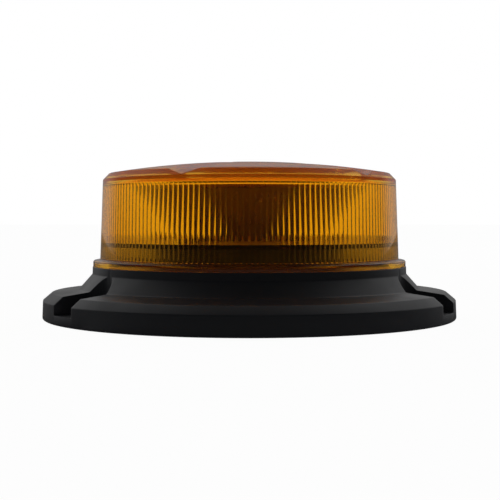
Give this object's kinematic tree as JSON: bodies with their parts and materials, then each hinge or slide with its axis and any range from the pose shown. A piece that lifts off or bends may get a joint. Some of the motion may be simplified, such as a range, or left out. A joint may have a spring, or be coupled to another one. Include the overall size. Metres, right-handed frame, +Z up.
{
  "type": "led warning beacon",
  "caption": "Low-profile amber LED warning beacon with a fluted lens, a trumpet reflector and a round moulded base that bolts down.",
  "frame": {"origin": "centre of the underside, on the surface that the base stands on", "axes": "+Z up along the axis of the lens; the viewer stands on the -Y side, with +X to the right"},
  "size_m": [0.165, 0.165, 0.0617],
  "materials": {
    "base_plastic": "satin black moulded plastic with a fine texture",
    "gasket_foam": "closed-cell foam rubber",
    "grommet_rubber": "moulded rubber",
    "vent_plastic": "moulded plastic",
    "membrane": "white porous membrane",
    "driver_board": "green solder mask on glass-fibre board",
    "screws": "zinc-plated steel",
    "terminal_plastic": "moulded plastic",
    "ferrite": "pressed ferrite",
    "capacitor_can": "satin can",
    "chip_epoxy": "moulded epoxy",
    "resistor_ceramic": "glazed ceramic",
    "header_plastic": "moulded plastic with plated pins",
    "spreader_aluminium": "turned aluminium plate",
    "thermal_pad": "soft silicone sheet",
    "carrier_aluminium": "satin machined aluminium",
    "led_board": "white solder mask",
    "led_ceramic": "white ceramic package",
    "led_silicone": "clear silicone dome over phosphor",
    "reflector_metal": "vacuum-metallised plastic",
    "seal_rubber": "moulded rubber ring",
    "lens_amber": "clear amber polycarbonate, smooth outside and fluted inside"
  },
  "bodies": {
    "root": {"base_housing": "base_plastic", "mounting_gasket": "gasket_foam", "cable_grommet": "grommet_rubber", "vent_plug": "vent_plastic", "vent_membrane": "membrane", "driver_board": "driver_board", "driver_screws": "screws", "terminal_block": "terminal_plastic", "power_inductors": "ferrite", "bulk_capacitors": "capacitor_can", "microcontroller": "chip_epoxy", "driver_chips": "chip_epoxy", "power_transistors": "chip_epoxy", "protection_diode": "chip_epoxy", "sense_resistors": "resistor_ceramic", "board_header": "header_plastic", "heat_spreader": "spreader_aluminium", "thermal_pad": "thermal_pad", "led_carrier": "carrier_aluminium", "led_board": "led_board", "led_packages": "led_ceramic", "led_domes": "led_silicone", "carrier_screws": "screws", "reflector": "reflector_metal", "reflector_screw": "screws", "lens_seal": "seal_rubber", "lens": "lens_amber"}
  },
  "joints": []
}
